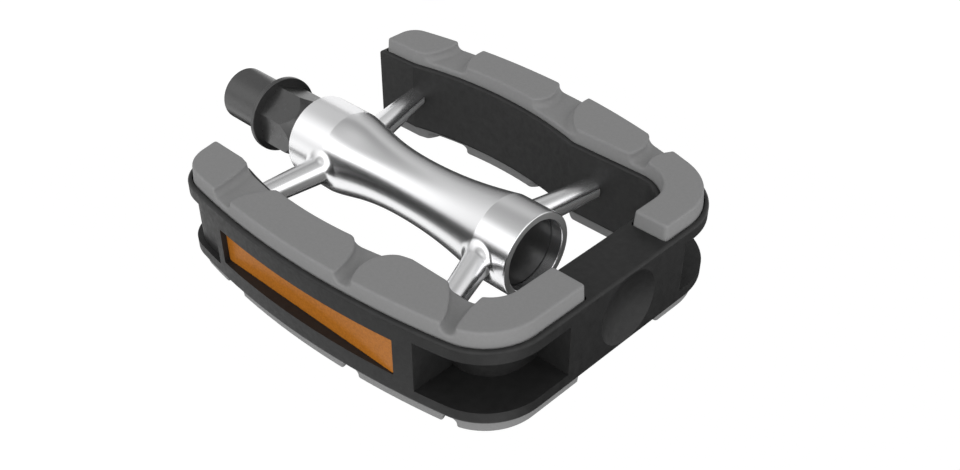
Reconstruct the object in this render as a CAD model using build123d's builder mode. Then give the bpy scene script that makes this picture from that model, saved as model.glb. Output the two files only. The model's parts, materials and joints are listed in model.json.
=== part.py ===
"""Flat bicycle pedal with a moulded cage, rubber tread pads and two side reflectors.

Frame: millimetres. The origin is on the spindle axis, in the face of the spindle flange that
seats on the crank. +X runs along the spindle away from the crank, +Y towards the front rail of
the cage and +Z up. The tread is the same on both sides, mirrored in the plane Z = 0.
"""
import os
from math import atan2, cos, degrees, radians, sin, sqrt

from build123d import *

os.makedirs("parts", exist_ok=True)

# ---------------------------------------------------------------- driving dimensions: spindle
STUB_RADIUS = 7.144          # 9/16 in crank thread, outside radius
STUB_LENGTH = 16.1
STUB_CHAMFER = 0.9
FLANGE_RADIUS = 10.1
FLANGE_THICKNESS = 1.3
HEX_FLATS = 15.0             # spanner size
HEX_END = 13.4
HEX_TURN = 34.0              # degrees from the +Y axis to a corner of the hexagon
HEX_CONE_START = 9.6         # where the hexagon's corners start to be turned down
HEX_CONE_END_RADIUS = 7.2
COLLAR_RADIUS = 6.2
SHOULDER_ROUND = 0.2          # at the flange's rim and both its roots
THREAD_RADIUS = 3.0
THREAD_SHOULDER = 1.0         # from the thread's start to the outer ball centre
SPINDLE_END = 85.3
RUNNING_GAP = 0.05           # radial play between turning pieces

# ---------------------------------------------------------------- driving dimensions: bearings
BALL_RADIUS = 1.5875         # 1/8 in balls
BALL_COUNT = 8
PITCH_RADIUS = 5.7
RACE_RADIUS = BALL_RADIUS + 0.03    # also the radius of a retainer's pockets
INNER_BALL_X = 23.5
OUTER_BALL_X = 74.3
CUP_RADIUS = 8.0
CUP_BACK = 3.1               # from the ball centre to the cup's closed side
CUP_FRONT = 2.9              # from the ball centre to the cup's open side
CUP_HOLE_RADIUS = 5.2
RETAINER_INNER_RADIUS = 6.35
RETAINER_OUTER_RADIUS = 7.2
RETAINER_FRONT = 2.6         # from the ball centre to the closed side of the retainer
RETAINER_BACK = 0.3
CONE_LENGTH = 6.4
CONE_HEX_FLATS = 10.0
CONE_HEX_LENGTH = 2.2
WASHER_THICKNESS = 1.0
WASHER_RADIUS = 5.6
NUT_FLATS = 10.0
NUT_THICKNESS = 3.4
THREAD_GAP = 0.03

# ---------------------------------------------------------------- driving dimensions: centre body
BARREL_START = 16.5
BARREL_END = 90.0
BARREL_END_RADIUS = 10.8
BARREL_OUTER_RADIUS = 10.65
BARREL_INNER_RIDGE = 28.5
BARREL_OUTER_RIDGE = 79.5
WAIST_RADIUS = 7.75
WAIST_X = 53.0
WAIST_INNER = (37.0, 9.1)    # a point of the barrel's profile on each side of the waist
WAIST_OUTER = (67.0, 8.6)
RIDGE_SLOPES = (-0.12, 0.2)  # of the profile where it meets the two ridges
BARREL_BORE_RADIUS = 5.6
ARM_ROOT_RADIUS = 3.8        # on the spindle axis; the arms taper outwards
ARM_TIP_RADIUS = 2.55
ARM_FILLET = 1.0
ARM_DEPTH = 4.0              # how far an arm runs into the rail
SEAL_START = 17.2
SEAL_LENGTH = 2.4
SEAL_CHAMFER = 0.4
CAP_RADIUS = 8.8
CAP_BORE_DEPTH = 4.5
CAP_THICKNESS = 1.2
CAP_EDGE = 0.3

# ---------------------------------------------------------------- driving dimensions: cage
CAGE_HALF_HEIGHT = 9.6
CAGE_END = 115.8
BAR_INNER = 104.1
RIM_ROUND = 0.8              # along all four edges of the cage's rails
SEAT_DEPTH = 0.8
SEAT_MARGIN = 1.0
PAD_GAP = 0.25
PAD_BAR_END = 12.8           # half the bare length of the crossbar
PAD_VALLEY = 10.9
PAD_TOP = 13.1
PAD_EDGE = 0.6
PAD_CORNER = 1.0
RECESS_HALF_HEIGHT = 6.4
RECESS_WALL = 3.4
RECESS_BAR_SIDE = 19.0
RECESS_END_WALL = 2.5        # web left standing beside a recess
CRANK_RECESS_DEPTH = 1.4
POCKET_HALF_HEIGHT = 4.6
OUTWARD = 8.0                # how far a cut reaches past the rail's outer face
DISH_RADIUS = 8.9            # a little less than the crossbar's half height
DISH_DEPTH = 3.0
REFLECTOR_HALF_HEIGHT = 4.5
REFLECTOR_CORNER = 0.6
REFLECTOR_THICKNESS = 1.6
REFLECTOR_BACK_THICKNESS = 1.2
REFLECTOR_GAP = 0.1

# Each rail is a table of its own driving sizes. side is the sign of Y. Outlines are given for
# the front side and mirrored for the rear one.
FRONT = dict(
    name="front", side=1,
    crank_x=6.5, crank_outer_x=6.5, crank_inner_y=29.9, crank_fillet=6.5, outer_mid=(54.0, 46.65),
    outer_crank_y=41.9, outer_bar_y=34.3, corner=18.0, inner_corner=9.0,
    kink_in=(19.0, 30.1), bow=(47.0, 33.2), kink_out=(74.5, 28.9), inner_bar_y=29.2,
    reflector=(28.0, 84.0), plane_y=43.0, recess_start=90.5,
    arm_roots=(28.0, 77.0), arm_tips=(18.7, 82.5),
)
REAR = dict(
    name="rear", side=-1,
    crank_x=15.5, crank_outer_x=18.5, crank_inner_y=29.9, crank_fillet=10.5, outer_mid=(63.0, 47.2),
    outer_crank_y=43.1, outer_bar_y=39.7, corner=15.0, inner_corner=6.0,
    kink_in=(28.0, 30.1), bow=(56.0, 33.4), kink_out=(83.5, 29.5), inner_bar_y=29.6,
    reflector=(37.0, 91.5), plane_y=44.6, recess_start=96.6,
    arm_roots=(29.0, 77.9), arm_tips=(27.0, 91.3),
)
RAILS = (FRONT, REAR)

# The valleys across each tread: corner points from the inner edge out, then back in.
FRONT_VALLEYS = (
    ((19.9, 28.0), (20.4, 33.0), (22.8, 47.0), (31.2, 47.0), (33.4, 39.0), (35.6, 28.0)),
    ((58.6, 28.0), (60.0, 37.0), (58.6, 48.0), (66.8, 48.0), (68.9, 37.5), (76.6, 27.0)),
    ((90.2, 26.0), (91.6, 35.0), (89.0, 43.0), (97.2, 43.0), (95.6, 34.0), (97.2, 26.0)),
)
REAR_VALLEYS = (
    ((29.3, 28.0), (30.4, 34.0), (34.6, 48.0), (41.0, 48.0), (42.8, 39.0), (44.8, 28.0)),
    ((67.6, 28.0), (71.0, 37.5), (77.4, 49.0), (80.8, 49.0), (77.1, 37.0), (85.4, 28.0)),
    ((93.0, 26.0), (97.5, 34.0), (103.0, 46.0), (106.6, 46.0), (102.6, 33.0), (102.2, 26.0)),
)


def place(points, side):
    """The same outline on the other side of the spindle when side is -1."""
    return [(x, y * side) for x, y in points]


# ---------------------------------------------------------------- outlines in the plane Z = 0
def rail_outline(rail, inset=0.0):
    """Half of the cage seen from above: one rail and its half of the crossbar."""
    side = rail["side"]
    with BuildSketch(Plane.XY, mode=Mode.PRIVATE) as outline:
        with BuildLine():
            crank_inner = (rail["crank_x"], rail["crank_inner_y"] * side)
            crank_outer = (rail["crank_outer_x"], rail["outer_crank_y"] * side)
            bar_outer = (CAGE_END, rail["outer_bar_y"] * side)
            bar_inner = (BAR_INNER, rail["inner_bar_y"] * side)
            kink_in, bow, kink_out, outer_mid = place(
                (rail["kink_in"], rail["bow"], rail["kink_out"], rail["outer_mid"]), side
            )
            Line(crank_inner, crank_outer)
            ThreePointArc(crank_outer, outer_mid, bar_outer)
            Line(bar_outer, (CAGE_END, 0))
            Line((CAGE_END, 0), (BAR_INNER, 0))
            Line((BAR_INNER, 0), bar_inner)
            Line(bar_inner, kink_out)
            ThreePointArc(kink_out, bow, kink_in)
            Line(kink_in, crank_inner)
        make_face()
        rounded = (
            (crank_outer, "crank_fillet"), (bar_outer, "corner"), (bar_inner, "inner_corner")
        )
        for corner, radius in rounded:
            fillet(nearest(outline.vertices(), corner), rail[radius])
        if inset:
            offset(amount=-inset, kind=Kind.INTERSECTION)
    return outline.sketch


def nearest(vertices, point):
    """The vertex closest to a point in the plane Z = 0."""
    return vertices.sort_by_distance((point[0], point[1], 0))[0]


def tread_outline(rail, inset, bare):
    """The footprint of a tread, which stops short of the middle of the crossbar by bare."""
    with BuildSketch(Plane.XY, mode=Mode.PRIVATE) as footprint:
        add(rail_outline(rail, inset))
        with Locations((CAGE_END, 0)):
            Rectangle(CAGE_END, 2 * bare, mode=Mode.SUBTRACT)
        side = rail["side"]
        ends = (
            (rail["crank_x"] + inset, (rail["crank_inner_y"] + inset) * side),
            (CAGE_END - inset, bare * side), (BAR_INNER + inset, bare * side),
        )
        fillet([nearest(footprint.vertices(), end) for end in ends], PAD_CORNER)
    return footprint.sketch


# ---------------------------------------------------------------- spindle
def race_arc(ball_x, start, end, radius=RACE_RADIUS):
    """Three points of a race arc round a ball's centre, for angles in degrees."""
    angles = (start, (start + end) / 2, end)
    return [
        (ball_x + radius * cos(radians(a)), PITCH_RADIUS + radius * sin(radians(a))) for a in angles
    ]


with BuildPart() as spindle:
    with BuildSketch(Plane.XZ):
        with BuildLine():
            race = race_arc(INNER_BALL_X, 180, 270)
            FilletPolyline(
                (0, 0), (0, FLANGE_RADIUS), (FLANGE_THICKNESS, FLANGE_RADIUS),
                (FLANGE_THICKNESS, COLLAR_RADIUS), (race[0][0], COLLAR_RADIUS), race[0],
                radius=SHOULDER_ROUND,
            )
            ThreePointArc(*race)
            Polyline(
                race[2], (OUTER_BALL_X - CUP_BACK, race[2][1]),
                (OUTER_BALL_X - THREAD_SHOULDER, THREAD_RADIUS),
                (SPINDLE_END, THREAD_RADIUS), (SPINDLE_END, 0), (0, 0),
            )
        make_face()
    revolve(axis=Axis.X)
    with BuildSketch(Plane.YZ):
        Circle(STUB_RADIUS)
    extrude(amount=-STUB_LENGTH)
    stub_end = spindle.faces().sort_by(Axis.X)[0]
    chamfer(stub_end.edges(), STUB_CHAMFER)
    with BuildPart(mode=Mode.PRIVATE) as hexagon:
        with BuildSketch(Plane.YZ.offset(FLANGE_THICKNESS)):
            RegularPolygon(HEX_FLATS / 2, side_count=6, major_radius=False, rotation=HEX_TURN)
        extrude(amount=HEX_END - FLANGE_THICKNESS)
        with BuildSketch(Plane.XZ):
            with BuildLine():
                Polyline(
                    (0, 0), (0, FLANGE_RADIUS), (HEX_CONE_START, HEX_FLATS / sqrt(3)),
                    (HEX_END, HEX_CONE_END_RADIUS), (HEX_END, 0), (0, 0),
                )
            make_face()
        revolve(axis=Axis.X, mode=Mode.INTERSECT)
    add(hexagon.part)
spindle.part.label = "spindle"

# ---------------------------------------------------------------- outer cone, washer and locknut
CONE_START = OUTER_BALL_X
CONE_END = CONE_START + CONE_LENGTH
with BuildPart() as outer_cone:
    with BuildSketch(Plane.XZ):
        with BuildLine():
            race = race_arc(OUTER_BALL_X, 270, 360)
            ThreePointArc(*race)
            Polyline(
                race[2], (race[2][0], COLLAR_RADIUS), (CONE_END - CONE_HEX_LENGTH, COLLAR_RADIUS),
                (CONE_END - CONE_HEX_LENGTH, THREAD_RADIUS + THREAD_GAP),
                (race[0][0], THREAD_RADIUS + THREAD_GAP), race[0],
            )
        make_face()
    revolve(axis=Axis.X)
    with BuildSketch(Plane.YZ.offset(CONE_END - CONE_HEX_LENGTH)):
        RegularPolygon(radius=CONE_HEX_FLATS / 2, side_count=6, major_radius=False)
        Circle(THREAD_RADIUS + THREAD_GAP, mode=Mode.SUBTRACT)
    extrude(amount=CONE_HEX_LENGTH)
outer_cone.part.label = "outer_cone"

with BuildPart() as lock_washer:
    with BuildSketch(Plane.YZ.offset(CONE_END)):
        Circle(WASHER_RADIUS)
        Circle(THREAD_RADIUS + THREAD_GAP, mode=Mode.SUBTRACT)
    extrude(amount=WASHER_THICKNESS)
lock_washer.part.label = "lock_washer"

NUT_START = CONE_END + WASHER_THICKNESS
with BuildPart() as locknut:
    with BuildSketch(Plane.YZ.offset(NUT_START)):
        RegularPolygon(radius=NUT_FLATS / 2, side_count=6, major_radius=False)
        Circle(THREAD_RADIUS + THREAD_GAP, mode=Mode.SUBTRACT)
    extrude(amount=NUT_THICKNESS)
locknut.part.label = "locknut"


# ---------------------------------------------------------------- bearings
def bearing_cup(ball_x, direction, label):
    """A pressed cup. direction is +1 when the cup's closed side faces +X."""
    with BuildPart() as cup:
        with BuildSketch(Plane.XZ):
            with BuildLine():
                race = [
                    (ball_x + direction * (x - ball_x), r) for x, r in race_arc(ball_x, 0, 90)
                ]
                back = ball_x + direction * CUP_BACK
                front = ball_x - direction * CUP_FRONT
                ThreePointArc(*race)
                Polyline(
                    race[2], (front, race[2][1]), (front, CUP_RADIUS), (back, CUP_RADIUS),
                    (back, CUP_HOLE_RADIUS), (race[0][0], CUP_HOLE_RADIUS), race[0],
                )
            make_face()
        revolve(axis=Axis.X)
    cup.part.label = label
    return cup.part


def ball_locations(ball_x):
    """The centres of one ring of balls."""
    angles = [radians(360 / BALL_COUNT * i) for i in range(BALL_COUNT)]
    return [(ball_x, PITCH_RADIUS * cos(a), PITCH_RADIUS * sin(a)) for a in angles]


def ball_ring(ball_x, label):
    """One ring of loose balls, all in one node."""
    with BuildPart() as balls:
        with Locations(*ball_locations(ball_x)):
            Sphere(BALL_RADIUS)
    balls.part.label = label
    return balls.part


def ball_retainer(ball_x, direction, label):
    """A crown retainer whose closed side lies in the cup's open mouth."""
    front = ball_x - direction * RETAINER_FRONT
    length = RETAINER_FRONT + RETAINER_BACK
    with BuildPart() as retainer:
        with BuildSketch(Plane.YZ.offset(front)):
            Circle(RETAINER_OUTER_RADIUS)
            Circle(RETAINER_INNER_RADIUS, mode=Mode.SUBTRACT)
        extrude(amount=direction * length)
        with Locations(*ball_locations(ball_x)):
            Sphere(RACE_RADIUS, mode=Mode.SUBTRACT)
    retainer.part.label = label
    return retainer.part


inner_cup = bearing_cup(INNER_BALL_X, 1, "inner_cup")
outer_cup = bearing_cup(OUTER_BALL_X, -1, "outer_cup")
inner_balls = ball_ring(INNER_BALL_X, "inner_balls")
outer_balls = ball_ring(OUTER_BALL_X, "outer_balls")
inner_retainer = ball_retainer(INNER_BALL_X, 1, "inner_retainer")
outer_retainer = ball_retainer(OUTER_BALL_X, -1, "outer_retainer")

# ---------------------------------------------------------------- centre body: barrel and arms
ARMS = [
    (root, tip, rail)
    for rail in RAILS
    for root, tip in zip(rail["arm_roots"], rail["arm_tips"])
]


def arm_plane(root, tip, rail):
    """A plane across an arm at its root, facing along it, and the arm's length."""
    side = rail["side"]
    start = Vector(root, 0, 0)
    end = Vector(tip, side * (rail["kink_in"][1] + ARM_DEPTH), 0)
    direction = end - start
    return Plane(origin=start, x_dir=(0, 0, 1), z_dir=direction), direction.length


def arm_taper(length):
    """The taper angle of an arm of some length, in degrees."""
    return degrees(atan2(ARM_ROOT_RADIUS - ARM_TIP_RADIUS, length))


with BuildPart() as centre_body:
    with BuildSketch(Plane.XZ):
        with BuildLine():
            Line((BARREL_START, 0), (BARREL_START, BARREL_END_RADIUS))
            Line((BARREL_START, BARREL_END_RADIUS), (BARREL_INNER_RIDGE, BARREL_END_RADIUS))
            Spline(
                (BARREL_INNER_RIDGE, BARREL_END_RADIUS), WAIST_INNER, (WAIST_X, WAIST_RADIUS),
                WAIST_OUTER, (BARREL_OUTER_RIDGE, BARREL_OUTER_RADIUS),
                tangents=[(1, slope) for slope in RIDGE_SLOPES],
            )
            Line((BARREL_OUTER_RIDGE, BARREL_OUTER_RADIUS), (BARREL_END, BARREL_OUTER_RADIUS))
            Line((BARREL_END, BARREL_OUTER_RADIUS), (BARREL_END, 0))
            Line((BARREL_END, 0), (BARREL_START, 0))
        make_face()
    revolve(axis=Axis.X)
    for root, tip, rail in ARMS:
        plane, length = arm_plane(root, tip, rail)
        with BuildSketch(plane):
            Circle(ARM_ROOT_RADIUS)
        extrude(amount=length, taper=arm_taper(length))
    arm_roots = centre_body.edges().filter_by(GeomType.BSPLINE).filter_by(
        lambda edge: abs(edge.center().Y) > ARM_ROOT_RADIUS
    )
    fillet(arm_roots, ARM_FILLET)
    # bores for the cups, the through hole and the cap
    with BuildSketch(Plane.YZ.offset(BARREL_START)):
        Circle(BARREL_BORE_RADIUS)
    extrude(amount=BARREL_END - BARREL_START, mode=Mode.SUBTRACT)
    with BuildSketch(Plane.YZ.offset(BARREL_START)):
        Circle(CUP_RADIUS)
    extrude(amount=INNER_BALL_X + CUP_BACK - BARREL_START, mode=Mode.SUBTRACT)
    with BuildSketch(Plane.YZ.offset(OUTER_BALL_X - CUP_BACK)):
        Circle(CUP_RADIUS)
    extrude(amount=BARREL_END - OUTER_BALL_X + CUP_BACK, mode=Mode.SUBTRACT)
    with BuildSketch(Plane.YZ.offset(BARREL_END - CAP_BORE_DEPTH)):
        Circle(CAP_RADIUS)
    extrude(amount=CAP_BORE_DEPTH, mode=Mode.SUBTRACT)
centre_body.part.label = "centre_body"

with BuildPart() as inner_seal:
    with BuildSketch(Plane.YZ.offset(SEAL_START)):
        Circle(CUP_RADIUS)
        Circle(COLLAR_RADIUS + RUNNING_GAP, mode=Mode.SUBTRACT)
    extrude(amount=SEAL_LENGTH)
    chamfer(inner_seal.faces().sort_by(Axis.X)[0].edges(), SEAL_CHAMFER)
inner_seal.part.label = "inner_seal"

with BuildPart() as dust_cap:
    with BuildSketch(Plane.YZ.offset(BARREL_END - CAP_BORE_DEPTH)):
        Circle(CAP_RADIUS)
    extrude(amount=CAP_THICKNESS)
    chamfer(dust_cap.faces().sort_by(Axis.X)[-1].edges(), CAP_EDGE)
dust_cap.part.label = "dust_cap"

# ---------------------------------------------------------------- cage
def recess_outline(rail):
    """The open recess round an outer corner, from the rail's rib to the crossbar's block."""
    side = rail["side"]
    wall_x = BAR_INNER + RECESS_WALL
    wall_y = rail["inner_bar_y"] + RECESS_WALL
    start = rail["recess_start"]
    outside_x = CAGE_END + OUTWARD
    outside_y = rail["outer_mid"][1]
    with BuildSketch(Plane.XY, mode=Mode.PRIVATE) as recess:
        with BuildLine():
            outline = (
                (wall_x, RECESS_BAR_SIDE), (outside_x, RECESS_BAR_SIDE), (outside_x, outside_y),
                (start, outside_y), (start, wall_y), (wall_x, wall_y),
            )
            Polyline(*place(outline, side), close=True)
        make_face()
        wall_corner = nearest(recess.vertices(), (wall_x, wall_y * side))
        fillet(wall_corner, rail["inner_corner"] + RECESS_WALL)
    return recess.sketch


def crank_recess_outline(rail):
    """The shallow recess round a rail's crank end, as far as the reflector's end wall."""
    end = rail["reflector"][0] - RECESS_END_WALL
    low = rail["crank_inner_y"] + RECESS_END_WALL
    with BuildSketch(Plane.XY, mode=Mode.PRIVATE) as recess:
        with Locations((end / 2, rail["side"] * (low + OUTWARD))):
            Rectangle(end, 2 * OUTWARD)
        add(rail_outline(rail, CRANK_RECESS_DEPTH), mode=Mode.SUBTRACT)
    return recess.sketch


def reflector_outline(rail, depth, reach, gap=0.0):
    """A strip behind the reflector's outer plane, open outwards by reach."""
    start, end = rail["reflector"]
    with BuildSketch(Plane.XY, mode=Mode.PRIVATE) as strip:
        middle_y = rail["plane_y"] + (reach - depth) / 2
        with Locations(((start + end) / 2, rail["side"] * middle_y)):
            Rectangle(end - start + 2 * gap, depth + reach)
    return strip.sketch


with BuildPart() as cage:
    for rail in RAILS:
        with BuildSketch(Plane.XY.offset(-CAGE_HALF_HEIGHT)):
            add(rail_outline(rail))
        extrude(amount=2 * CAGE_HALF_HEIGHT)
    fillet(cage.faces().filter_by(Axis.Z).edges(), RIM_ROUND)
    for rail in RAILS:
        # seats for the tread pads, above and below
        for level in (CAGE_HALF_HEIGHT - SEAT_DEPTH, -CAGE_HALF_HEIGHT):
            with BuildSketch(Plane.XY.offset(level)):
                add(tread_outline(rail, SEAT_MARGIN, PAD_BAR_END))
            extrude(amount=SEAT_DEPTH, mode=Mode.SUBTRACT)
        with BuildSketch(Plane.XY.offset(-RECESS_HALF_HEIGHT)):
            add(recess_outline(rail))
            add(crank_recess_outline(rail))
        extrude(amount=2 * RECESS_HALF_HEIGHT, mode=Mode.SUBTRACT)
        # the reflector's pocket
        pocket_depth = REFLECTOR_THICKNESS + REFLECTOR_BACK_THICKNESS
        with BuildSketch(Plane.XY.offset(-POCKET_HALF_HEIGHT)):
            add(reflector_outline(rail, pocket_depth, OUTWARD, REFLECTOR_GAP))
        extrude(amount=2 * POCKET_HALF_HEIGHT, mode=Mode.SUBTRACT)
        for root, tip in zip(rail["arm_roots"], rail["arm_tips"]):
            plane, length = arm_plane(root, tip, rail)
            with BuildSketch(plane):
                Circle(ARM_ROOT_RADIUS)
            extrude(amount=length, taper=arm_taper(length), mode=Mode.SUBTRACT)
    # round dish in the middle of the crossbar's outer face
    dish_sphere = (DISH_RADIUS**2 + DISH_DEPTH**2) / (2 * DISH_DEPTH)
    with Locations((CAGE_END - DISH_DEPTH + dish_sphere, 0, 0)):
        Sphere(dish_sphere, mode=Mode.SUBTRACT)
cage.part.label = "cage"


# ---------------------------------------------------------------- tread pads
def tread_pad(rail, valleys, label):
    """The upper tread pad of a rail: a strip in the cage's seat with raised blocks."""
    side = rail["side"]
    footprint = tread_outline(rail, SEAT_MARGIN + PAD_GAP, PAD_BAR_END + PAD_GAP)
    with BuildPart() as pad:
        with BuildSketch(Plane.XY.offset(CAGE_HALF_HEIGHT - SEAT_DEPTH)):
            add(footprint)
        extrude(amount=PAD_VALLEY - CAGE_HALF_HEIGHT + SEAT_DEPTH)
        with BuildSketch(Plane.XY.offset(PAD_VALLEY)):
            add(footprint)
            for valley in valleys:
                with BuildLine():
                    Polyline(*place(valley, side), close=True)
                make_face(mode=Mode.SUBTRACT)
        extrude(amount=PAD_TOP - PAD_VALLEY)
        chamfer(pad.faces().filter_by(Axis.Z).group_by(Axis.Z)[-1].edges(), PAD_EDGE)
    pad.part.label = label
    return pad.part


PADS = []
for rail, valleys in ((FRONT, FRONT_VALLEYS), (REAR, REAR_VALLEYS)):
    upper = tread_pad(rail, valleys, f"pad_{rail['name']}_top")
    lower = mirror(upper, about=Plane.XY)
    lower.label = f"pad_{rail['name']}_bottom"
    PADS += [upper, lower]


# ---------------------------------------------------------------- reflectors
def reflector_layer(rail, depth, thickness, label):
    """A flat bar of the reflector, with its outer face depth inside the reflector's plane."""
    start, end = rail["reflector"]
    middle_y = rail["side"] * (rail["plane_y"] - depth - thickness / 2)
    with BuildPart() as layer:
        with BuildSketch(Plane.XZ.offset(-middle_y)):
            with Locations(((start + end) / 2, 0)):
                Rectangle(end - start, 2 * REFLECTOR_HALF_HEIGHT)
        extrude(amount=thickness / 2, both=True)
        fillet(layer.edges().filter_by(Axis.Y), REFLECTOR_CORNER)
    layer.part.label = label
    return layer.part


REFLECTORS = []
for rail in RAILS:
    name = rail["name"]
    REFLECTORS += [
        reflector_layer(rail, 0.0, REFLECTOR_THICKNESS, f"reflector_{name}_lens"),
        reflector_layer(rail, REFLECTOR_THICKNESS, REFLECTOR_BACK_THICKNESS, f"reflector_{name}_back"),
    ]

PIECES = [
    spindle.part, outer_cone.part, lock_washer.part, locknut.part,
    inner_cup, outer_cup, inner_balls, outer_balls, inner_retainer, outer_retainer,
    centre_body.part, inner_seal.part, dust_cap.part, cage.part, *PADS, *REFLECTORS,
]
for piece in PIECES:
    export_step(piece, f"parts/{piece.label}.step")
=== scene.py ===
"""The looks of the flat pedal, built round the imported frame.

Metres, in the frame's own axes: +X runs along the spindle away from the crank, +Y towards the
front rail and +Z up. Plan sizes that belong to the treads are given in millimetres and turned
into metres by MM.
"""

import json
from math import cos, radians, sin

import bmesh
import bpy
import numpy as np
import openvdb
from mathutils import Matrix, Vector


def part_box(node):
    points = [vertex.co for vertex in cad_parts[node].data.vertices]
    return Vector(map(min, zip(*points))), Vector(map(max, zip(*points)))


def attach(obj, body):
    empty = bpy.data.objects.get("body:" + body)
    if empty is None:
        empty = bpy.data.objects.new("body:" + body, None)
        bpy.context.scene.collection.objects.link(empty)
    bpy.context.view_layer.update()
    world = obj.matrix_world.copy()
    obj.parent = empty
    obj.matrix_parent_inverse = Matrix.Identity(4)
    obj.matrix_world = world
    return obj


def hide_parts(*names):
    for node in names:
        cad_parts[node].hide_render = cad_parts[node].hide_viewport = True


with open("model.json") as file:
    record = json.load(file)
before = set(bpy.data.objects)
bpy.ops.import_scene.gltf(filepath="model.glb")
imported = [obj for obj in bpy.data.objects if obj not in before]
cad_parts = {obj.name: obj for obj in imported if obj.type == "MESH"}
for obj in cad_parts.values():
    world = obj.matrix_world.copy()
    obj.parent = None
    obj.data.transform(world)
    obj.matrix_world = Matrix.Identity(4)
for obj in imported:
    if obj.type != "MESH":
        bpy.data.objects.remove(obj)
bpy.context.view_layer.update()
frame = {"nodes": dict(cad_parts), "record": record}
NODES = frame["nodes"]
MM = 0.001
SAME_PLACE = 1e-6            # metres; points closer than this are one point


# ---------------------------------------------------------------- small helpers
def link(piece):
    """Adds a new object to the scene."""
    bpy.context.scene.collection.objects.link(piece)
    return piece


def new_piece(name, vertices, faces):
    """A smooth-shaded mesh object."""
    mesh = bpy.data.meshes.new(name)
    mesh.from_pydata(vertices, [], faces)
    mesh.validate()
    mesh.polygons.foreach_set("use_smooth", [True] * len(mesh.polygons))
    return link(bpy.data.objects.new(name, mesh))


# ---------------------------------------------------------------- materials
class Shader:
    """A Principled material with a short way to add and link nodes."""

    def __init__(self, name, color, roughness, metallic=0.0, **values):
        self.material = bpy.data.materials.new(name)
        self.material.use_nodes = True
        self.tree = self.material.node_tree
        self.bsdf = self.tree.nodes["Principled BSDF"]
        self.bsdf.inputs["Base Color"].default_value = (*color, 1)
        self.bsdf.inputs["Roughness"].default_value = roughness
        self.bsdf.inputs["Metallic"].default_value = metallic
        for socket, value in values.items():
            self.bsdf.inputs[socket.replace("_", " ")].default_value = value
        self.place = self.add("ShaderNodeTexCoord").outputs["Object"]

    def add(self, kind, **settings):
        node = self.tree.nodes.new(kind)
        for key, value in settings.items():
            setattr(node, key, value)
        return node

    def join(self, output, target):
        self.tree.links.new(output, target)

    def noise(self, size, detail=2.0, roughness=0.5, stretch=(1, 1, 1)):
        """Noise whose features are about size across, in metres."""
        mapping = self.add("ShaderNodeMapping")
        mapping.inputs["Scale"].default_value = stretch
        self.join(self.place, mapping.inputs["Vector"])
        noise = self.add("ShaderNodeTexNoise")
        noise.inputs["Scale"].default_value = 1 / size
        noise.inputs["Detail"].default_value = detail
        noise.inputs["Roughness"].default_value = roughness
        self.join(mapping.outputs["Vector"], noise.inputs["Vector"])
        return noise.outputs["Fac"]

    def spread(self, factor, low, high, start=0.3, end=0.7):
        """Maps a factor from start..end to low..high."""
        ranged = self.add("ShaderNodeMapRange")
        for socket, value in (("From Min", start), ("From Max", end), ("To Min", low), ("To Max", high)):
            ranged.inputs[socket].default_value = value
        self.join(factor, ranged.inputs["Value"])
        return ranged.outputs["Result"]

    def vary_color(self, factor, dark, light):
        """Colour that varies from dark to light with a factor."""
        ramp = self.add("ShaderNodeValToRGB")
        ramp.color_ramp.elements[0].position = 0.3
        ramp.color_ramp.elements[1].position = 0.7
        ramp.color_ramp.elements[0].color = (*dark, 1)
        ramp.color_ramp.elements[1].color = (*light, 1)
        self.join(factor, ramp.inputs["Fac"])
        self.join(ramp.outputs["Color"], self.bsdf.inputs["Base Color"])

    def blend_color(self, factor, first, second):
        """Colour that goes from first to second with a factor."""
        mix = self.add("ShaderNodeMix", data_type="RGBA")
        ends = [socket for socket in mix.inputs if socket.type == "RGBA"]
        ends[0].default_value = (*first, 1)
        ends[1].default_value = (*second, 1)
        self.join(factor, mix.inputs[0])
        result = [socket for socket in mix.outputs if socket.type == "RGBA"][0]
        self.join(result, self.bsdf.inputs["Base Color"])

    def facing_x(self, start, end):
        """1 on the faces square to the spindle axis, 0 elsewhere."""
        parts = self.add("ShaderNodeSeparateXYZ")
        self.join(self.add("ShaderNodeNewGeometry").outputs["Normal"], parts.inputs["Vector"])
        size = self.add("ShaderNodeMath", operation="ABSOLUTE")
        self.join(parts.outputs["X"], size.inputs[0])
        return self.spread(size.outputs["Value"], 0.0, 1.0, start, end)

    def vary_roughness(self, factor, low, high):
        self.join(self.spread(factor, low, high), self.bsdf.inputs["Roughness"])

    def bump(self, height, depth, strength=1.0):
        """Relief of a given depth, in metres. A second call adds to the first."""
        bump = self.add("ShaderNodeBump")
        bump.inputs["Distance"].default_value = depth
        bump.inputs["Strength"].default_value = strength
        self.join(height, bump.inputs["Height"])
        normal = self.bsdf.inputs["Normal"]
        if normal.is_linked:
            self.join(normal.links[0].from_socket, bump.inputs["Normal"])
        self.join(bump.outputs["Normal"], normal)


def cage_plastic():
    """Black glass-filled nylon: a fine moulded grain, a little uneven in gloss."""
    shader = Shader("cage_plastic", (0.013, 0.013, 0.013), 0.5, Specular_IOR_Level=0.35)
    shader.vary_color(shader.noise(0.002, 4.0), (0.011, 0.011, 0.011), (0.016, 0.016, 0.016))
    shader.vary_roughness(shader.noise(0.0012, 3.0), 0.44, 0.56)
    shader.bump(shader.noise(0.00035, 3.0, 0.6), 0.00002, 0.7)
    return shader.material


def tread_rubber():
    """Grey rubber, matt, with the faint grain of a spark-eroded mould."""
    shader = Shader("tread_rubber", (0.22, 0.22, 0.22), 0.8, Specular_IOR_Level=0.3)
    shader.vary_color(shader.noise(0.0006, 3.0), (0.216, 0.216, 0.217), (0.228, 0.228, 0.228))
    shader.vary_roughness(shader.noise(0.001, 2.0), 0.72, 0.86)
    shader.bump(shader.noise(0.0003, 3.0, 0.65), 0.000018, 0.6)
    return shader.material


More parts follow.
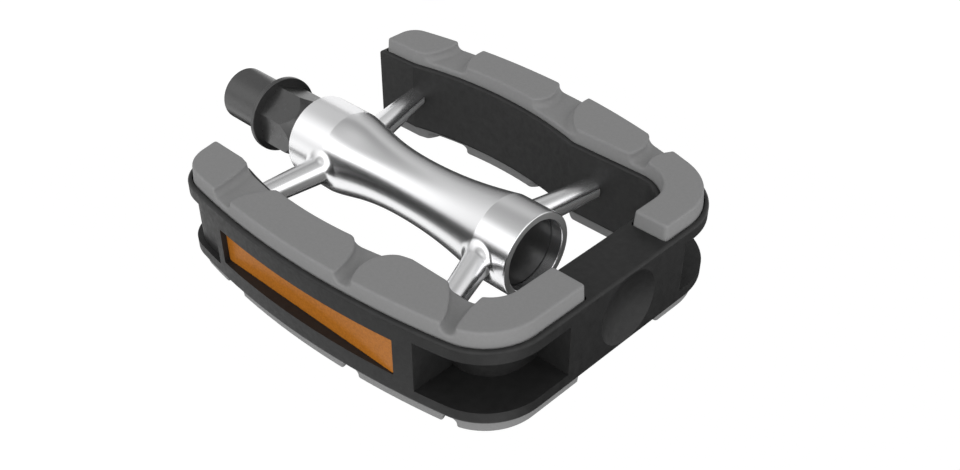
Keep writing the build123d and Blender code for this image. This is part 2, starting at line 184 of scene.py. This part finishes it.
def body_aluminium():
    """Polished cast aluminium; the faces square to the spindle axis are painted a darker grey, painted
    shade in place of the dark reflection they show, and are also rougher and less metallic.
    """
    shader = Shader("body_aluminium", (0.90, 0.90, 0.91), 0.2, 1.0)
    # painted shade: the faces square to the spindle axis get a dark grey base colour, with less metal
    # and more roughness
    end_face_shade = shader.facing_x(0.9, 0.97)
    shader.blend_color(end_face_shade, (0.90, 0.90, 0.91), (0.30, 0.30, 0.30))
    shader.join(shader.spread(end_face_shade, 1.0, 0.25, 0.0, 1.0), shader.bsdf.inputs["Metallic"])
    polish = shader.spread(shader.noise(0.0003, 2.0, 0.5), 0.245, 0.26)
    roughness = shader.add("ShaderNodeMath", operation="MULTIPLY_ADD")
    roughness.inputs[1].default_value = 0.3
    shader.join(end_face_shade, roughness.inputs[0])
    shader.join(polish, roughness.inputs[2])
    shader.join(roughness.outputs["Value"], shader.bsdf.inputs["Roughness"])
    return shader.material


def spindle_steel():
    """Steel under a smooth black-oxide film, which reflects little except at a low angle."""
    shader = Shader("spindle_steel", (0.018, 0.018, 0.018), 0.3, Specular_IOR_Level=0.9)
    shader.vary_color(shader.noise(0.001, 4.0), (0.015, 0.015, 0.015), (0.021, 0.021, 0.021))
    shader.vary_roughness(shader.noise(0.0008, 3.0), 0.27, 0.36)
    shader.bump(shader.noise(0.0004, 3.0, 0.6, (8, 1, 1)), 0.000008, 0.5)
    return shader.material


def bearing_steel():
    """Ground bearing steel."""
    shader = Shader("bearing_steel", (0.5, 0.5, 0.51), 0.28, 1.0)
    shader.vary_roughness(shader.noise(0.0006, 3.0), 0.22, 0.34)
    shader.bump(shader.noise(0.0003, 3.0, 0.6, (6, 1, 1)), 0.000006, 0.4)
    return shader.material


def ball_steel():
    """Polished bearing balls with a film of oil."""
    shader = Shader("ball_steel", (0.75, 0.75, 0.76), 0.08, 1.0, Coat_Weight=0.3)
    shader.vary_roughness(shader.noise(0.0008, 3.0), 0.05, 0.12)
    return shader.material


def retainer_brass():
    """Stamped brass, slightly dulled."""
    shader = Shader("retainer_brass", (0.70, 0.53, 0.25), 0.35, 1.0)
    shader.vary_color(shader.noise(0.002, 4.0), (0.58, 0.42, 0.19), (0.72, 0.55, 0.27))
    shader.vary_roughness(shader.noise(0.0007, 3.0), 0.28, 0.42)
    return shader.material


def seal_rubber():
    """Black nitrile rubber."""
    shader = Shader("seal_rubber", (0.02, 0.02, 0.02), 0.75, Specular_IOR_Level=0.3)
    shader.bump(shader.noise(0.0003, 3.0, 0.6), 0.00001, 0.5)
    return shader.material


def cap_plastic():
    """Black moulded cap, smoother than the cage."""
    shader = Shader("cap_plastic", (0.028, 0.028, 0.028), 0.38, Specular_IOR_Level=0.45)
    shader.vary_roughness(shader.noise(0.001, 3.0), 0.33, 0.45)
    shader.bump(shader.noise(0.0005, 2.0), 0.000008, 0.5)
    return shader.material


def reflector_amber():
    """Amber acrylic, finely mottled in place of its moulded prisms, which have no shape here."""
    shader = Shader("reflector_amber", (0.37, 0.124, 0.0097), 0.4, Specular_IOR_Level=0.25)
    shader.vary_color(shader.noise(0.0004, 2.0), (0.313, 0.104, 0.0076), (0.421, 0.144, 0.013))
    return shader.material


def reflector_backing():
    """Dark plate behind the lens."""
    shader = Shader("reflector_backing", (0.06, 0.035, 0.02), 0.5)
    shader.bump(shader.noise(0.0004, 3.0), 0.00001, 0.5)
    return shader.material


MATERIALS = {
    make.__name__: make()
    for make in (
        cage_plastic, tread_rubber, body_aluminium, spindle_steel, bearing_steel, ball_steel,
        retainer_brass, seal_rubber, cap_plastic, reflector_amber, reflector_backing,
    )
}


def finish_with(piece, slot):
    """Gives a piece its material and names the record's slot."""
    piece.data.materials.clear()
    piece.data.materials.append(MATERIALS[slot])


for row in frame["record"]["subparts"]:
    finish_with(NODES[row["node"]], row["material_slot"])


# ---------------------------------------------------------------- shapes from distance fields
def round_max(a, b, radius):
    """Intersection of two distance fields with a rounded edge."""
    both = np.hypot(np.maximum(a + radius, 0), np.maximum(b + radius, 0)) - radius
    return np.where((a > -radius) & (b > -radius), both, np.maximum(a, b))


def round_min(a, b, radius):
    """Union of two distance fields with a concave fillet."""
    return -round_max(-a, -b, radius)


def segment_distance(x, y, start, end):
    """Distance from each grid point to a segment."""
    direction = end - start
    along = ((x - start[0]) * direction[0] + (y - start[1]) * direction[1]) / (direction @ direction)
    along = np.clip(along, 0, 1)
    return np.hypot(x - start[0] - along * direction[0], y - start[1] - along * direction[1])


def loop_distance(x, y, loop):
    """Distance to a closed outline, negative inside it."""
    best = np.full(x.shape, np.inf)
    inside = np.zeros(x.shape, bool)
    for start, end in zip(loop, np.roll(loop, -1, axis=0)):
        best = np.minimum(best, segment_distance(x, y, start, end))
        if start[1] != end[1]:
            crosses = (start[1] > y) != (end[1] > y)
            at = start[0] + (y - start[1]) / (end[1] - start[1]) * (end[0] - start[0])
            inside ^= crosses & (x < at)
    return np.where(inside, -best, best)


def curve_through(points, steps=6):
    """A smooth line through the points, with steps pieces between each pair."""
    points = np.array(points, float)
    ends = (2 * points[0] - points[1], 2 * points[-1] - points[-2])
    knots = np.vstack((ends[0], points, ends[1]))
    line = []
    for p0, p1, p2, p3 in zip(knots, knots[1:], knots[2:], knots[3:]):
        for t in np.arange(steps) / steps:
            line.append(
                0.5 * (2 * p1 + (p2 - p0) * t + (2 * p0 - 5 * p1 + 4 * p2 - p3) * t**2
                       + (3 * p1 - p0 - 3 * p2 + p3) * t**3)
            )
    return np.vstack((line, points[-1]))


def lengthened(line, reach):
    """A line continued straight on past both its ends."""
    start = line[0] - line[1]
    end = line[-1] - line[-2]
    return np.vstack((
        line[0] + start * reach / np.hypot(*start), line, line[-1] + end * reach / np.hypot(*end)
    ))


def grid_axes(low, high, step):
    """Grid coordinates that reach two steps past the box low..high."""
    return [np.arange(a - 2 * step, b + 2 * step, step) for a, b in zip(low, high)]


def skin(name, field, axes, step, adaptivity=0.0):
    """The surface where a field on a regular grid is zero."""
    grid = openvdb.FloatGrid(3 * step)
    grid.copyFromArray(np.ascontiguousarray(field, np.float32))
    points, triangles, quads = grid.convertToPolygons(0.0, adaptivity)
    vertices = points * step + np.array([axis[0] for axis in axes])
    faces = [tuple(face) for face in triangles.tolist() + quads.tolist()]
    return new_piece(name, (vertices * MM).tolist(), faces)


# ---------------------------------------------------------------- tread pads
PAD_STEP = 0.2               # millimetres, as all sizes of the treads
PAD_EDGE = 0.5               # rounding of the convex edges
PAD_FOOT = 1.5               # fillet between a block and the strip it stands on
PAD_DRAFT = 0.3              # how far the walls lean in over their height
PAD_VALLEY = 10.9            # height of the strip between the blocks
GAP_REACH = 4.0              # how far a gap's walls run on past the strip's edges
# each gap between two blocks: its wall nearer the crank, then its other wall, in plan
FRONT_GAPS = (
    (((17.5, 29.3), (20.6, 31.2), (22.7, 34.2), (23.8, 38.6), (23.6, 42.0), (21.9, 45.5)),
     ((38.5, 31.5), (35.2, 34.0), (33.0, 36.6), (31.7, 40.0), (31.3, 43.3), (31.6, 46.5))),
    (((55.5, 32.6), (58.2, 34.1), (59.8, 36.2), (60.1, 38.9), (59.2, 42.0), (56.8, 45.9)),
     ((78.5, 28.0), (74.6, 30.7), (71.0, 33.9), (68.6, 37.4), (67.5, 41.0), (67.4, 44.5))),
    (((89.3, 28.2), (90.6, 30.3), (91.3, 33.0), (91.2, 36.0), (90.2, 38.6), (88.2, 41.6)),
     ((99.5, 26.5), (96.6, 29.5), (95.3, 32.6), (95.5, 35.4), (96.7, 37.9), (98.3, 40.5))),
)
REAR_GAPS = (
    (((27.8, 29.0), (30.0, 31.2), (31.9, 34.8), (33.0, 39.0), (33.7, 43.0), (34.0, 46.5)),
     ((46.5, 32.4), (43.6, 34.9), (41.3, 38.4), (40.2, 42.0), (40.5, 44.6), (42.2, 47.5))),
    (((66.5, 33.0), (69.4, 34.3), (72.2, 36.6), (74.2, 40.2), (75.3, 44.0), (75.9, 47.5)),
     ((85.5, 30.0), (81.2, 31.6), (78.6, 34.0), (77.3, 37.5), (78.0, 41.4), (80.4, 45.3), (83.0, 48.5))),
    (((92.0, 30.0), (94.4, 31.4), (97.6, 34.4), (100.4, 38.0), (101.8, 41.2), (102.2, 45.0)),
     ((101.8, 27.5), (102.1, 30.5), (103.0, 35.0), (104.5, 39.4), (106.2, 42.0), (108.5, 44.5))),
)


def foot_outline(node):
    """The closed outline of a pad's flat underside, in millimetres, from its CAD node."""
    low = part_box(node)[0].z
    mesh = bmesh.new()
    mesh.from_mesh(NODES[node].data)
    bmesh.ops.remove_doubles(mesh, verts=mesh.verts, dist=SAME_PLACE)
    flat = {f for f in mesh.faces if all(abs(v.co.z - low) < SAME_PLACE for v in f.verts)}
    neighbours = {}
    for edge in mesh.edges:
        if sum(face in flat for face in edge.link_faces) == 1:
            a, b = edge.verts
            neighbours.setdefault(a, []).append(b)
            neighbours.setdefault(b, []).append(a)
    start = next(iter(neighbours))
    loop, previous, current = [start], start, neighbours[start][0]
    while current != start:
        loop.append(current)
        onward = [v for v in neighbours[current] if v != previous][0]
        previous, current = current, onward
    outline = np.array([(v.co.x, v.co.y) for v in loop]) / MM
    mesh.free()
    return outline


def tread(name, node, gaps, side):
    """A pad with blocks: a strip, less the gaps between the blocks, all with rounded edges."""
    low, high = (np.array(corner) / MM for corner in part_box(node))
    axes = grid_axes(low, high, PAD_STEP)
    x, y = np.meshgrid(axes[0], axes[1], indexing="ij")
    wall = loop_distance(x, y, foot_outline(node))
    blocks = np.full(x.shape, -np.inf)
    for near, far in gaps:
        near_wall = lengthened(curve_through(near), GAP_REACH) * (1, side)
        far_wall = lengthened(curve_through(far), GAP_REACH) * (1, side)
        blocks = np.maximum(blocks, -loop_distance(x, y, np.vstack((near_wall, far_wall[::-1]))))
    z = axes[2][None, None, :]
    lean = PAD_DRAFT * (z - low[2]) / (high[2] - low[2])
    cap = round_max(blocks[:, :, None] + 0 * z, z - high[2] + 0 * wall[:, :, None], PAD_EDGE)
    relief = round_min(cap, z - PAD_VALLEY + 0 * cap, PAD_FOOT)
    solid = round_max(relief, wall[:, :, None] + lean, PAD_EDGE)
    solid = np.maximum(solid, low[2] - z)
    return skin(name, solid, axes, PAD_STEP)


def mirrored(piece, name):
    """A copy of a piece on the other side of the plane Z = 0."""
    mesh = piece.data.copy()
    copy = link(bpy.data.objects.new(name, mesh))
    flipped = bmesh.new()
    flipped.from_mesh(mesh)
    bmesh.ops.scale(flipped, vec=(1, 1, -1), verts=flipped.verts)
    bmesh.ops.reverse_faces(flipped, faces=flipped.faces)
    flipped.to_mesh(mesh)
    flipped.free()
    return copy


for rail, gaps, side in (("front", FRONT_GAPS, 1), ("rear", REAR_GAPS, -1)):
    top = tread(f"tread_{rail}_top", f"pad_{rail}_top", gaps, side)
    bottom = mirrored(top, f"tread_{rail}_bottom")
    for piece, node in ((top, f"pad_{rail}_top"), (bottom, f"pad_{rail}_bottom")):
        finish_with(piece, "tread_rubber")
        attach(piece, "platform")
        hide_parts(node)

# ---------------------------------------------------------------- centre body
BODY_STEP = 0.25             # millimetres, as all sizes of the centre body
BARREL_ENDS = (16.5, 90.0)
BARREL_RADII = (10.8, 10.65)
RIDGES = (28.5, 79.5)        # where the waist starts and ends
# points of the waist between the ridges: X and radius
WAIST = ((37.0, 9.1), (53.0, 7.75), (67.0, 8.6))
RIDGE_SLOPES = (-0.12, 0.2)
BODY_EDGE = 0.3              # rounding of the barrel's and bores' edges
LEAST_STEEPNESS = 0.2        # keeps a vertex from jumping where the field is nearly flat
# the bores: start, end and radius of each
BORES = ((26.6, 71.2, 5.6), (15.0, 26.6, 8.0), (71.2, 85.5, 8.0), (85.5, 92.0, 8.8))
ARM_RADII = (3.8, 2.55)
ARM_ROOT_ROUND = 1.7
ARM_ENDS = (
    ((28.0, 0.0), (18.7, 34.1)), ((77.0, 0.0), (82.5, 34.1)),
    ((29.0, 0.0), (27.0, -34.1)), ((77.9, 0.0), (91.3, -34.1)),
)


def clamped_spline(points, slopes):
    """The smooth curve y(x) through the points that has the given slopes at its two ends."""
    knots = np.array(points)
    x, y = knots.T
    gaps = np.diff(x)
    count = len(x)
    system = np.zeros((count, count))
    right = np.zeros(count)
    system[0, 0] = system[-1, -1] = 1
    right[0], right[-1] = slopes
    for i in range(1, count - 1):
        before, after = gaps[i - 1], gaps[i]
        system[i, i - 1:i + 2] = (1 / before, 2 / before + 2 / after, 1 / after)
        right[i] = 3 * ((y[i] - y[i - 1]) / before**2 + (y[i + 1] - y[i]) / after**2)
    bends = np.linalg.solve(system, right)

    def curve(at):
        i = np.clip(np.searchsorted(x, at) - 1, 0, count - 2)
        gap = gaps[i]
        t = (at - x[i]) / gap
        return (
            y[i] * (1 + 2 * t) * (1 - t)**2 + y[i + 1] * t**2 * (3 - 2 * t)
            + gap * (bends[i] * t * (1 - t)**2 - bends[i + 1] * t**2 * (1 - t))
        )

    return curve


WAIST_CURVE = clamped_spline(
    ((RIDGES[0], BARREL_RADII[0]), *WAIST, (RIDGES[1], BARREL_RADII[1])), RIDGE_SLOPES
)


def body_field(x, y, z):
    """Distance to the centre body: a waisted barrel, four tapered arms and the bores."""
    across = np.hypot(y, z)
    barrel = across - WAIST_CURVE(np.clip(x, *RIDGES))
    length = np.maximum(BARREL_ENDS[0] - x, x - BARREL_ENDS[1])
    body = round_max(barrel, length, BODY_EDGE)
    for root, tip in ARM_ENDS:
        run = np.hypot(tip[0] - root[0], tip[1] - root[1])
        way = ((tip[0] - root[0]) / run, (tip[1] - root[1]) / run)
        along = (x - root[0]) * way[0] + (y - root[1]) * way[1]
        side = (x - root[0]) * way[1] - (y - root[1]) * way[0]
        radius = ARM_RADII[0] + (ARM_RADII[1] - ARM_RADII[0]) * along / run
        arm = np.maximum(np.hypot(side, z) - radius, along - run)
        body = round_min(body, np.maximum(arm, -along), ARM_ROOT_ROUND)
    for start, end, radius in BORES:
        bore = np.maximum(across - radius, np.maximum(start - x, x - end))
        body = round_max(body, -bore, BODY_EDGE)
    return body


def settle(piece, field, rounds=3, nudge=0.01):
    """Moves a skin's vertices exactly onto the field's surface and takes its normals from it."""
    mesh = piece.data
    flat = np.empty(len(mesh.vertices) * 3)
    mesh.vertices.foreach_get("co", flat)
    points = flat.reshape(-1, 3) / MM

    def slope():
        steps = np.eye(3) * nudge
        return np.stack([
            (field(*(points + step).T) - field(*(points - step).T)) / (2 * nudge) for step in steps
        ], axis=1)

    for _ in range(rounds):
        uphill = slope()
        steepness = np.maximum((uphill**2).sum(axis=1), LEAST_STEEPNESS)
        move = uphill * (field(*points.T) / steepness)[:, None]
        points = points - np.clip(move, -BODY_STEP / 2, BODY_STEP / 2)
    uphill = slope()
    normals = uphill / np.maximum(np.linalg.norm(uphill, axis=1), 1e-6)[:, None]
    mesh.vertices.foreach_set("co", (points * MM).ravel())
    mesh.update()
    mesh.normals_split_custom_set_from_vertices(normals)


def centre_body():
    low, high = (np.array(corner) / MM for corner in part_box("centre_body"))
    axes = grid_axes(low, high, BODY_STEP)
    x, y, z = np.meshgrid(*axes, indexing="ij", sparse=True)
    piece = skin("centre_body_cast", body_field(x, y, z), axes, BODY_STEP)
    settle(piece, body_field)
    finish_with(piece, "body_aluminium")
    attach(piece, "platform")
    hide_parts("centre_body")


centre_body()

# ---------------------------------------------------------------- camera
TARGET = Vector((0.07267, 0, -0.01328))
DISTANCE = 0.27429
AZIMUTH = radians(43.86)
ELEVATION = radians(37.91)
LENS = 43.49
SHIFT_Y = 0.0365


def add_camera():
    """The camera at the photograph's viewing angle, upright and without depth of field."""
    back = Vector((
        sin(AZIMUTH) * cos(ELEVATION), -cos(AZIMUTH) * cos(ELEVATION), sin(ELEVATION)
    ))
    data = bpy.data.cameras.new("camera")
    data.lens = LENS
    data.sensor_width = 36
    data.shift_y = SHIFT_Y
    data.clip_start = 0.01
    camera = link(bpy.data.objects.new("camera", data))
    camera.location = TARGET + back * DISTANCE
    camera.rotation_euler = back.to_track_quat("Z", "Y").to_euler()
    bpy.context.scene.camera = camera


add_camera()


# ---------------------------------------------------------------- studio
FLOOR_Z = -0.08
FLOOR_SIZE = 3.0
FLOOR_GLOW = 1.0
DARK_COLOR = (0.02, 0.02, 0.02)
FLAG_REACH = 0.2             # half the flags' length in X, and how far out they run in Y
FLAG_LIFT = 0.001            # how far the flags lie above the floor
BOUNCE = (-0.108, -0.026)    # the strip of floor, in Y, that the flags leave open
FLAG_MIDDLE_X = 0.05
CARD_Y = 0.055               # the card stands in this plane
CARD_SPAN = (-0.065, -0.010)
CARD_LEVELS = (-0.012, 0.05)
CARD_GLOW = 0.97
# the sky's strength against the height of the direction, from the horizon (0) to overhead (1)
SKY_LEVELS = ((0.0, 0.9), (0.10, 0.8), (0.28, 1.05), (0.66, 1.28), (0.82, 0.52), (1.0, 1.15))
SKY_TILT = (0.45, -0.55, 0.0)    # the sky is brighter towards +X and -Y


def stage_material(name, color, glow=0.0):
    """A plain matt surface that may glow, for the floor, the flags and the card."""
    material = bpy.data.materials.new(name)
    material.use_nodes = True
    bsdf = material.node_tree.nodes["Principled BSDF"]
    bsdf.inputs["Base Color"].default_value = (*color, 1)
    bsdf.inputs["Roughness"].default_value = 1.0
    bsdf.inputs["Specular IOR Level"].default_value = 0.0
    bsdf.inputs["Emission Color"].default_value = (1, 1, 1, 1)
    bsdf.inputs["Emission Strength"].default_value = glow
    return material


def level_sheet(name, x_range, y_range, z):
    """A flat rectangle facing up."""
    corners = [(x_range[0], y_range[0], z), (x_range[1], y_range[0], z),
               (x_range[1], y_range[1], z), (x_range[0], y_range[1], z)]
    return new_piece(name, corners, [(0, 1, 2, 3)])


def add_floor():
    """A wide pale floor that glows, so that it stays even."""
    half = FLOOR_SIZE / 2
    floor = level_sheet("floor", (-half, half), (-half, half), FLOOR_Z)
    floor.data.materials.append(stage_material("floor", (0.1, 0.1, 0.1), FLOOR_GLOW))


def add_flags():
    """Black sheets just above the floor, hidden from the camera, that darken what faces down."""
    length = (FLAG_MIDDLE_X - FLAG_REACH, FLAG_MIDDLE_X + FLAG_REACH)
    near = level_sheet("flag_near", length, (-FLAG_REACH, BOUNCE[0]), FLOOR_Z + FLAG_LIFT)
    far = level_sheet("flag_far", length, (BOUNCE[1], FLAG_REACH), FLOOR_Z + FLAG_LIFT)
    for flag in (near, far):
        flag.data.materials.append(stage_material(flag.name, DARK_COLOR))
        flag.visible_camera = False


def add_card():
    """A bright upright card beside the crank's end, for the spindle and the barrel to reflect."""
    (left, right), (low, high) = CARD_SPAN, CARD_LEVELS
    corners = [(left, CARD_Y, low), (right, CARD_Y, low), (right, CARD_Y, high), (left, CARD_Y, high)]
    card = new_piece("card", corners, [(0, 1, 2, 3)])
    card.data.materials.append(stage_material("card", DARK_COLOR, CARD_GLOW))
    card.visible_camera = False
    card.visible_diffuse = False
    card.visible_shadow = False


def add_world():
    """A pale studio sky with a dimmer band high up, brighter on one side."""
    world = bpy.data.worlds.new("studio")
    bpy.context.scene.world = world
    world.use_nodes = True
    tree = world.node_tree
    coordinates = tree.nodes.new("ShaderNodeTexCoord")
    parts = tree.nodes.new("ShaderNodeSeparateXYZ")
    tree.links.new(coordinates.outputs["Generated"], parts.inputs["Vector"])
    height = tree.nodes.new("ShaderNodeFloatCurve")
    curve = height.mapping.curves[0]
    height.mapping.clip_max_y = 2.0
    height.mapping.use_clip = False
    curve.points[0].location = SKY_LEVELS[0]
    curve.points[1].location = SKY_LEVELS[-1]
    for level in SKY_LEVELS[1:-1]:
        curve.points.new(*level)
    height.mapping.update()
    tree.links.new(parts.outputs["Z"], height.inputs["Value"])
    tilt = tree.nodes.new("ShaderNodeVectorMath")
    tilt.operation = "DOT_PRODUCT"
    tilt.inputs[1].default_value = SKY_TILT
    tree.links.new(coordinates.outputs["Generated"], tilt.inputs[0])
    level = tree.nodes.new("ShaderNodeMath")
    level.operation = "MULTIPLY_ADD"
    tree.links.new(tilt.outputs["Value"], level.inputs[0])
    tree.links.new(height.outputs["Value"], level.inputs[1])
    tree.links.new(height.outputs["Value"], level.inputs[2])
    background = tree.nodes["Background"]
    background.inputs["Color"].default_value = (1, 1, 1, 1)
    tree.links.new(level.outputs["Value"], background.inputs["Strength"])


add_floor()
add_flags()
add_card()
add_world()
bpy.context.scene.view_settings.view_transform = "Standard"
